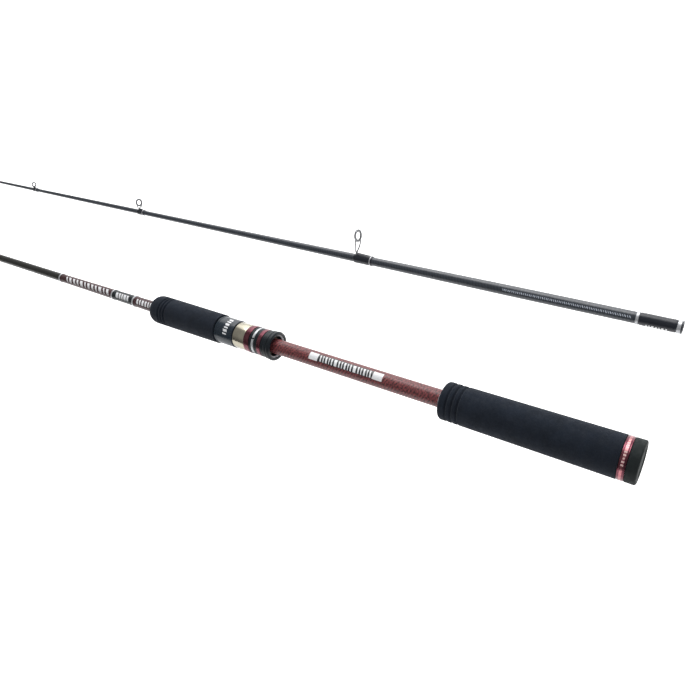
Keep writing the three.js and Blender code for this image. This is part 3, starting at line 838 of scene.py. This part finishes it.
def seat_stack():
    """Red and black rings on each side of the segmented silver one."""
    for node, finish in (("seat_red_ring_rear", RED), ("seat_band_rear", NYLON),
                         ("seat_band_front", NYLON), ("seat_red_ring_front", RED)):
        start, end, outer = extent(node, BUTT)
        middle = (start + end) / 2
        corners = [(start, BORE_RADIUS, 0), (start, outer, 0.3)]
        if finish is NYLON:
            corners += [(middle - 0.3, outer, 0.1), (middle, outer - 0.25, 0.1), (middle + 0.3, outer, 0.1)]
        corners += [(end, outer, 0.3), (end, BORE_RADIUS, 0)]
        ring(node + "_turned", rounded(corners), [finish], [node], EXTRA_FINE)
    segments = 5
    start, end, outer = extent("seat_silver_ring", BUTT)
    angles = turns(segments * 36)
    share = (angles - radians(FACING)) * segments / (2 * pi) % 1
    inside_gap = (share < 0.04) | (share > 0.96)
    outline = band(start, end, BORE_RADIUS, outer, 0.3)
    loops = [loop(x, np.where(inside_gap, min(radius, outer - 0.7), radius), angles) for x, radius in outline]
    Surface(BUTT).skin(loops, joined=True).piece("segmented_ring", [SILVER], ["seat_silver_ring"])
    bed = band(start + 0.25, end - 0.25, BORE_RADIUS, outer - 0.45, 0.1)
    ring("segmented_ring_bed", bed, [NYLON], count=EXTRA_FINE)


def flat_cut(radii, angles, height):
    """Polar radii cut off by a flat below the axis."""
    downward = -np.cos(angles)
    with np.errstate(divide="ignore"):
        limit = np.where(downward > 1e-3, height / np.maximum(downward, 1e-3), np.inf)
    return np.minimum(radii, limit)


def pod_radii(angles):
    """Polar radii of a hood's pod, from its corners below the axis."""
    radii = np.zeros(len(angles))
    for a, b in zip(POD_CORNERS, POD_CORNERS[1:]):
        for sign in (-1, 1):
            radii = np.maximum(radii, edge_radii(angles, (sign * a[0], -a[1]), (sign * b[0], -b[1])))
    return radii


def edge_radii(angles, first, second):
    """Where rays from the axis meet the edge between two (side, up) points, else 0."""
    direction = np.stack((np.sin(angles), np.cos(angles)), -1)
    first, second = np.array(first), np.array(second)
    along = second - first
    normal = np.array((along[1], -along[0]))
    facing = direction @ normal
    with np.errstate(divide="ignore", invalid="ignore"):
        reach = (first @ normal) / facing
        share = ((direction * reach[:, None] - first) @ along) / (along @ along)
    hit = (reach > 0) & (share >= -1e-6) & (share <= 1 + 1e-6)
    return np.where(hit, reach, 0)


def pocket_radii(angles):
    """Polar radii of a hood's bore and foot pocket together."""
    bore = flat_cut(BORE_RADIUS, angles, BED_HEIGHT + 0.15)
    side, drop = POCKET_HALF_WIDTH, -POCKET_DROP
    pocket = edge_radii(angles, (-side, drop), (side, drop))
    for sign in (-1, 1):
        pocket = np.maximum(pocket, edge_radii(angles, (sign * side, -BED_HEIGHT), (sign * side, drop)))
    return np.maximum(bore, pocket)


def hood_round_radius(node):
    """The radius of a hood's round part, measured above the axis."""
    points = BUTT.local(corners_of(node))
    above = points[points[:, 2] > 4]
    return np.hypot(above[:, 1], above[:, 2]).max()


def hood(node, name, finish, facing, grooves, body=None):
    """A hood with a foot pocket open at its mouth. Grooves are (start, end) shares of its length.

    It faces forward when facing is 1 and back when it is -1.
    """
    start, end = span(node)
    radius = hood_round_radius(node)
    even = turns(240)
    corner_rays = [atan2(sign * side, -drop) % (2 * pi) for side, drop in POD_CORNERS for sign in (1, -1)]
    pocket_rays = [atan2(sign * POCKET_HALF_WIDTH, -drop) % (2 * pi)
                   for sign in (-1, 1) for drop in (POCKET_DROP, BED_HEIGHT, BED_HEIGHT + 0.3)]
    angles = np.array(sorted(set(np.round(np.concatenate((even, corner_rays, pocket_rays)), 5))))
    outside = np.maximum(radius, pod_radii(angles))
    inside = pocket_radii(angles)
    closed = flat_cut(BORE_RADIUS, angles, BED_HEIGHT + 0.15)

    def rounded_end(x, way, edge=0.7):
        return [loop(x - way * edge * (1 - sin(turn)), outside - edge * (1 - cos(turn)), angles)
                for turn in np.linspace(0, pi / 2, 6)]

    loops = rounded_end(start, -1)[::-1]
    for shares in grooves:
        for share, way in zip(shares, (1, -1)):
            for sink, shift in ((0, -0.12), (0.25, 0.12))[::way]:
                loops.append(loop(start + (end - start) * share + shift * way, outside - sink, angles))
    loops += rounded_end(end, 1)
    back, mouth = (start, end)[::facing]
    wall = back + HOOD_END_WALL * facing
    inner = [loop(mouth, inside + 0.2, angles), loop(mouth + (wall - mouth) * 0.03, inside, angles),
             loop(wall, inside, angles), loop(wall, closed, angles), loop(back, closed, angles)]
    loops += inner[::facing]
    Surface(BUTT).skin(loops, joined=True).piece(name, [finish], [node], body=body)


def barrel():
    """The seat's threaded tube: a two-start thread, a flat for the hoods and the reel foot's pad."""
    start, end = span("seat_barrel")
    pad_start = span("fixed_hood")[0] + HOOD_END_WALL + CLEARANCE
    pad_end = span("sliding_hood")[1] - HOOD_END_WALL - CLEARANCE
    bed_start = span("fixed_hood")[0] - CLEARANCE
    thread_start = span("foregrip")[0] + 2.6
    pad_ray = atan2(PAD_HALF_WIDTH, PAD_HEIGHT)
    even = turns(120)
    rays = [pi + sign * pad_ray * share for sign in (-1, 1) for share in (0.999, 1.001)]
    angles = np.array(sorted(np.concatenate((even, rays))))
    on_pad = np.abs(angles - pi) <= pad_ray
    pad = np.where(on_pad, PAD_HEIGHT / np.maximum(-np.cos(angles), 0.1), 0)
    stations = [x + step for x in (start, bed_start, pad_start, pad_end) for step in (0, 0.01)]
    stations += [thread_start] + list(np.arange(thread_start + 0.25, end - 0.6, 0.25)) + [end - 0.5, end]
    loops = [loop(start, BARREL_BORE, angles)]
    for x in stations:
        radii = BARREL_RADIUS - 0.05
        if thread_start < x < end - 0.5:
            phase = (x / THREAD_LEAD - angles / (2 * pi)) * 2
            rise = np.abs((phase % 1) * 2 - 1)
            fade = min(1, (x - thread_start) / 2)
            radii = 8.35 - THREAD_DEPTH * fade * np.clip(rise * 1.5 - 0.25, 0, 1)
        elif x >= end - 0.5:
            radii = 8.0 if x < end else 7.6
        if x > bed_start:
            radii = flat_cut(radii, angles, BED_HEIGHT)
        if pad_start < x <= pad_end:
            radii = np.maximum(radii, pad)
        loops.append(loop(x, radii, angles))
    loops.append(loop(end, BARREL_BORE, angles))
    Surface(BUTT).skin(loops, joined=True).piece("threaded_barrel", [NYLON], ["seat_barrel"])


def foregrip():
    start, end = span("foregrip")
    barrel_end = span("seat_barrel")[1]
    bore = 8.9
    nut_end = span("foregrip_nut")[1] + CLEARANCE
    nut = BUTT.radius("foregrip_nut") + 0.12
    front = BUTT.radius("foregrip")
    outline = rounded([
        (start, nut, 0), (start, 12.0, 0.5), (end - 24, front, 2.0), *grooved(end - 22.1, 3.5, front),
        (end - 3.5, front, 9.0), (end, 7.0, 2.2), (end, NOSE_BORE, 0.5), (barrel_end + 2, NOSE_BORE, 0),
        (barrel_end + 2, bore, 0), (nut_end, bore, 0), (nut_end, nut, 0),
    ], steps=10)
    grip = ring("front_foam_grip", outline, [FOAM], ["foregrip"], EXTRA_FINE, body="foregrip")


# ---- guides

class GuidePlace:
    """A guide's station, height, lean and ring size, measured from its CAD ring."""

    def __init__(self, ring_node, axis):
        points = axis.local(corners_of(ring_node))
        self.station, side, up = (points.min(axis=0) + points.max(axis=0)) / 2
        self.height = hypot(side, up)
        self.fit(ring_node, axis.leaned(atan2(-side, up)))
        self.leg = 0.05 * self.radius + 0.25
        self.foot_half_width = 0.1 * self.radius + 0.5
        self.tilt = RING_TILT

    def fit(self, ring_node, axis, tilt=0.0):
        """Sizes the ring from its CAD node, on a leaned axis and at a tilt."""
        self.axis, self.tilt = axis, tilt
        points = axis.local(corners_of(ring_node))
        self.ceramic = np.hypot(points[:, 1], (points[:, 2] - self.height) / cos(tilt)).max()
        self.radius = (self.ceramic + FRAME_GAP + FRAME_WALL) / (1 - FRAME_WALL_SHARE)
        self.hoop_width = 0.12 * self.radius + 0.5

    def ring_loops(self, outline):
        """Loops turned about the ring's own tilted axis."""
        x, side, up = np.moveaxis(np.array(turned(outline, ROUND)), -1, 0)
        c, s = cos(self.tilt), sin(self.tilt)
        return np.stack((x * c + up * s + self.station, side, up * c - x * s + self.height), -1)


def guide_ring(place, name, node):
    """Makes the polished ceramic, and starts the frame's surface with the hoop round it."""
    wall = min(0.22 * place.radius + 0.2, 2.2)
    half = place.hoop_width * 0.58
    inner = place.ceramic - wall
    outline = rounded([
        (-half, inner + wall * 0.55, wall * 0.3), (-half * 0.75, place.ceramic, 0.06),
        (half * 0.75, place.ceramic, 0.06), (half, inner + wall * 0.55, wall * 0.3),
        (0, inner - wall * 0.05, half * 0.7),
    ], steps=7)
    Surface(place.axis).skin(place.ring_loops(outline), joined=True).piece(name, [CERAMIC], [node])
    half = place.hoop_width / 2
    inner = place.ceramic + 0.02
    outline = rounded([
        (-half, inner, 0.05), (-half, place.radius - 0.06, 0.12), (-half * 0.5, place.radius, 0.15),
        (half * 0.5, place.radius, 0.15), (half, place.radius - 0.06, 0.12), (half, inner, 0.05),
    ], steps=4)
    return Surface(place.axis).skin(place.ring_loops(outline), joined=True)


def leg_and_foot(surface, place, blank_radius, root, direction, foot, meets):
    """Two bent legs from the hoop's lower sides into one flat foot that tapers along the blank."""
    leg, half, x = place.leg, place.foot_half_width, place.station
    seat = blank_radius + 0.15
    top = seat + FOOT_THICKNESS
    rise = place.radius * 0.55
    leg_top = place.height - rise
    leg_out = sqrt(place.radius**2 - rise**2) - leg * 0.6
    for side in (-1, 1):
        path = smooth_path([
            (x + root + direction * leg * 3, side * (half - leg) * 0.8, top - leg * 0.9),
            (x + root, side * (half - leg), top - leg * 0.5),
            (x + root - direction * leg * 1.6, side * half, top + leg * 2.2),
            (x + root * 0.4, side * (half + leg_out) * 0.6, (top + leg_top) / 2),
            (x + meets, side * leg_out, leg_top),
        ])
        thin = np.linspace(1.15, 0.95, len(path)) * leg
        surface.skin(rod_loops(path, thin, thin))
    steps = 10
    shares = np.linspace(0, 1, steps)
    thick = FOOT_THICKNESS * (1 - shares * 0.6) / 2
    path = np.stack((x + root + direction * (shares * foot - 0.1), np.zeros(steps), seat + thick), -1)
    surface.skin(rod_loops(path, half * (1 - shares * 0.55), thick))


def thread_sleeve(axis, start, end, radius, name, node, trim=(0, 0), foot=(0, 0, 0)):
    """A wrap of thread under epoxy, with a silver trim and a (start, end, height) rise over a foot."""
    angles = turns(MIDDLE)
    near_top = np.exp(-((np.minimum(angles, 2 * pi - angles) / 0.55) ** 2))
    ends = [0, 0.12, 0.35, 0.7]
    stations = [start + d for d in ends] + list(np.arange(start + 1.2, end - 1, 0.6))
    stations = sorted(stations + [end - d for d in ends] + [x for x in trim if x])
    first, last, height = foot
    low, high = sorted((first, last))
    lift = [0, 1, 0.45, 0][::1 if first < last else -1]
    loops = []
    for x in stations:
        cover = WRAP_THICKNESS * sqrt(min(1, min(x - start, end - x) / 0.8))
        rise = near_top * height * np.interp(x, [low - 1.2, low, high, high + 1.2], lift)
        loops.append(loop(x, radius(x) + 0.05 + cover + rise, angles))
    inside = [trim[0] - 0.01 <= x < trim[1] - 0.01 for x in stations]
    Surface(axis).skin(loops, slot=lambda i: int(inside[i])).piece(name, [THREAD, SILVER_THREAD], [node])


def tip_guide(number):
    name = f"guide_{number}"
    place = GuidePlace(name + "_ring", TIP)
    surface = guide_ring(place, name + "_ceramic", name + "_ring")
    start = span(name + "_wrap")[0]
    foot = place.station - start - WRAP_OVERRUN - 0.2
    meets = -sin(RING_TILT) * place.radius * 0.55
    leg_and_foot(surface, place, tip_radius(start), 0, -1, foot, meets)
    surface.piece(name + "_wire_frame", [STEEL], [name + "_frame"])
    end = place.station + WRAP_PAST_LEGS
    thread_sleeve(place.axis, start, end, tip_radius, name + "_thread", name + "_wrap",
                  (start + 1.3, start + 2.1), (place.station - 0.4, start + 2, 0.95))


def stripper_guide():
    place = GuidePlace("stripper_ring", BUTT)
    surface = guide_ring(place, "stripper_ceramic", "stripper_ring")
    low, high = span("stripper_frame")
    blank_radius = butt_radius(low)
    root = place.height * 0.55
    foot = high - place.station - root - 0.2
    for direction in (-1, 1):
        leg_and_foot(surface, place, blank_radius, direction * root, direction, foot, 0)
    surface.piece("stripper_wire_frame", [STEEL], ["stripper_frame"])
    for node, direction in (("stripper_wrap_rear", -1), ("stripper_wrap_front", 1)):
        start, end = span(node)
        near, far = (end, start) if direction < 0 else (start, end)
        low, high = sorted((near - direction * 2.6, far))
        trim = (far - direction * 3.2, far - direction * 2.2)
        thread_sleeve(place.axis, low, high, butt_radius, node.replace("wrap", "thread"), node,
                      sorted(trim), (near - direction, far - direction * 3, 1.1))


def ferrule():
    """The female ferrule's wrap between two polished rings."""
    start, end = span("ferrule_wrap")
    under = TIP.radius("ferrule_wrap") - 0.45
    thread_sleeve(TIP, start, end, lambda x: under, "ferrule_thread", "ferrule_wrap")
    blank = TIP_OUTLINE[0][1] + 0.05
    silver_ring("ferrule_mouth_trim", "ferrule_mouth_ring", 0.35, TIP, blank, "ferrule_ring")
    silver_ring("ferrule_front_trim", "ferrule_trim_ring", 0.35, TIP, blank)


def tip_top():
    """The end guide: a tube over the tip with three stays to its hoop."""
    place = GuidePlace("tip_top_ring", TIP)
    place.fit("tip_top_ring", GuidePlace("guide_7_ring", TIP).axis, TOP_TILT)
    surface = guide_ring(place, "tip_top_ceramic", "tip_top_ring")
    start = span("tip_top_frame")[0]
    end = span("tip_blank")[1]
    bore = TIP_OUTLINE[-1][1] + 0.08
    outer = bore + 0.5
    tube = rounded([(start, bore, 0), (start, outer, 0.2), (end + 1.2, outer, 0.35),
                    (end + 1.2, AXIS_GAP, 0), (end + 0.3, AXIS_GAP, 0), (end + 0.3, bore, 0)])
    surface.skin(turned(tube, SMALL), joined=True)
    leg = place.leg
    for sign in (-1, 1):
        path = smooth_path([(end - 2.5, sign * (outer - leg), outer / 2),
                            (end + 1.2, sign * outer, outer * 0.65),
                            (place.station, sign * (place.radius - leg / 5), place.height)])
        surface.skin(rod_loops(path, leg, leg))
    stem = smooth_path([(end + 0.9, 0, 0), (end + 2.2, 0, 0),
                        (place.station - 0.2, 0, place.height - place.radius)])
    surface.skin(rod_loops(stem, leg, leg))
    surface.piece("tip_top_stays", [STEEL], ["tip_top_frame"])
    wrap_start, wrap_end = span("tip_top_wrap")
    thread_sleeve(TIP, wrap_start, wrap_end, tip_radius, "tip_top_thread", "tip_top_wrap",
                  (wrap_start + 1.4, wrap_start + 2.2))


# ---- stage, light and camera

def floor():
    """A pale floor under the lowest point."""
    low = CAD_BOUNDS[0][2]
    made = Finish("pale_floor", (0.9, 0.9, 0.9), 0.9, specular=0.1)
    made.shader.inputs["Emission Color"].default_value = (1, 1, 1, 1)
    made.shader.inputs["Emission Strength"].default_value = 0.75
    made.relief(made.noise(2), 0.01)
    mesh = bpy.data.meshes.new("floor")
    half = FLOOR_HALF
    corners = [(-half, -half, low), (half, -half, low), (half, half, low), (-half, half, low)]
    mesh.from_pydata(corners, [], [(0, 1, 2, 3)])
    mesh.materials.append(made.material)
    added("floor", mesh)


def light():
    """A soft box beyond the rod and a weak key, in a room that darkens towards the horizon.

    What shows past the floor's edge is plain white.
    """
    world = bpy.context.scene.world = bpy.data.worlds.new("studio")
    world.use_nodes = True
    nodes = Nodes(world.node_tree)
    direction = nodes.add("TexCoord").outputs["Generated"]
    height = nodes.add("SeparateXYZ", direction).outputs["Z"]
    towards = nodes.add("VectorMath", direction, SOFT_BOX_WAY.normalized(), operation="DOT_PRODUCT")
    lights = [nodes.add("MapRange", value, *limits, interpolation_type="SMOOTHSTEP").outputs[0]
              for value, limits in ((height, ROOM_LIGHT), (towards.outputs["Value"], SOFT_BOX_LIGHT))]
    seen = nodes.add("Mix", nodes.add("LightPath").outputs["Is Camera Ray"])
    nodes.feed(seen.inputs["A"], nodes.math("ADD", *lights))
    nodes.feed(seen.inputs["B"], 1.0)
    background = nodes.tree.nodes["Background"].inputs
    nodes.feed(background["Strength"], seen.outputs["Result"])
    nodes.feed(background["Color"], (1, 1, 1, 1))
    sun = bpy.data.lights.new("key", "SUN")
    sun.energy = 1.5
    sun.angle = radians(45)
    added("key", sun).rotation_euler = KEY_WAY.to_track_quat("Z", "Y").to_euler()


def camera():
    data = bpy.data.cameras.new("camera")
    data.sensor_width = SENSOR
    data.lens = LENS
    data.clip_start = 0.01
    made = added("camera", data)
    forward = CAMERA_FORWARD.normalized()
    up = CAMERA_RIGHT.cross(forward).normalized()
    right = forward.cross(up).normalized()
    turn = Matrix((right, up, -forward)).transposed()
    made.matrix_world = Matrix.Translation(CAMERA_PLACE) @ turn.to_4x4()
    bpy.context.scene.camera = made
    bpy.context.scene.view_settings.view_transform = "Standard"


# ---- the rod

butt_cap()
butt_ring()
ring_print()
rear_grip()
winding_check()
butt_blank()
blank_print()
barrel()
seat_collar()
seat_lip()
seat_stack()
hood("fixed_hood", "gold_fixed_hood", GOLD, 1, [])
hood("sliding_hood", "slate_sliding_hood", SLATE, -1, [(0.86, 0.90)], "sliding_hood")
hood_print()
foregrip()
for label_place in LABEL_PLACES:
    silver_ring("label_trim_" + label_place, "label_ring_" + label_place, 0.2)
stripper_guide()
tip_blank()
tip_print()
ferrule()
for guide_number in range(1, 8):
    tip_guide(guide_number)
tip_top()
# These CAD nodes keep their meshes and take procedural finishes
for node, finish in (("rear_arbor", ARBOR), ("front_arbor", ARBOR), ("foregrip_nut", NYLON)):
    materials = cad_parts[node].data.materials
    materials.clear()
    materials.append(finish.material)
floor()
light()
camera()
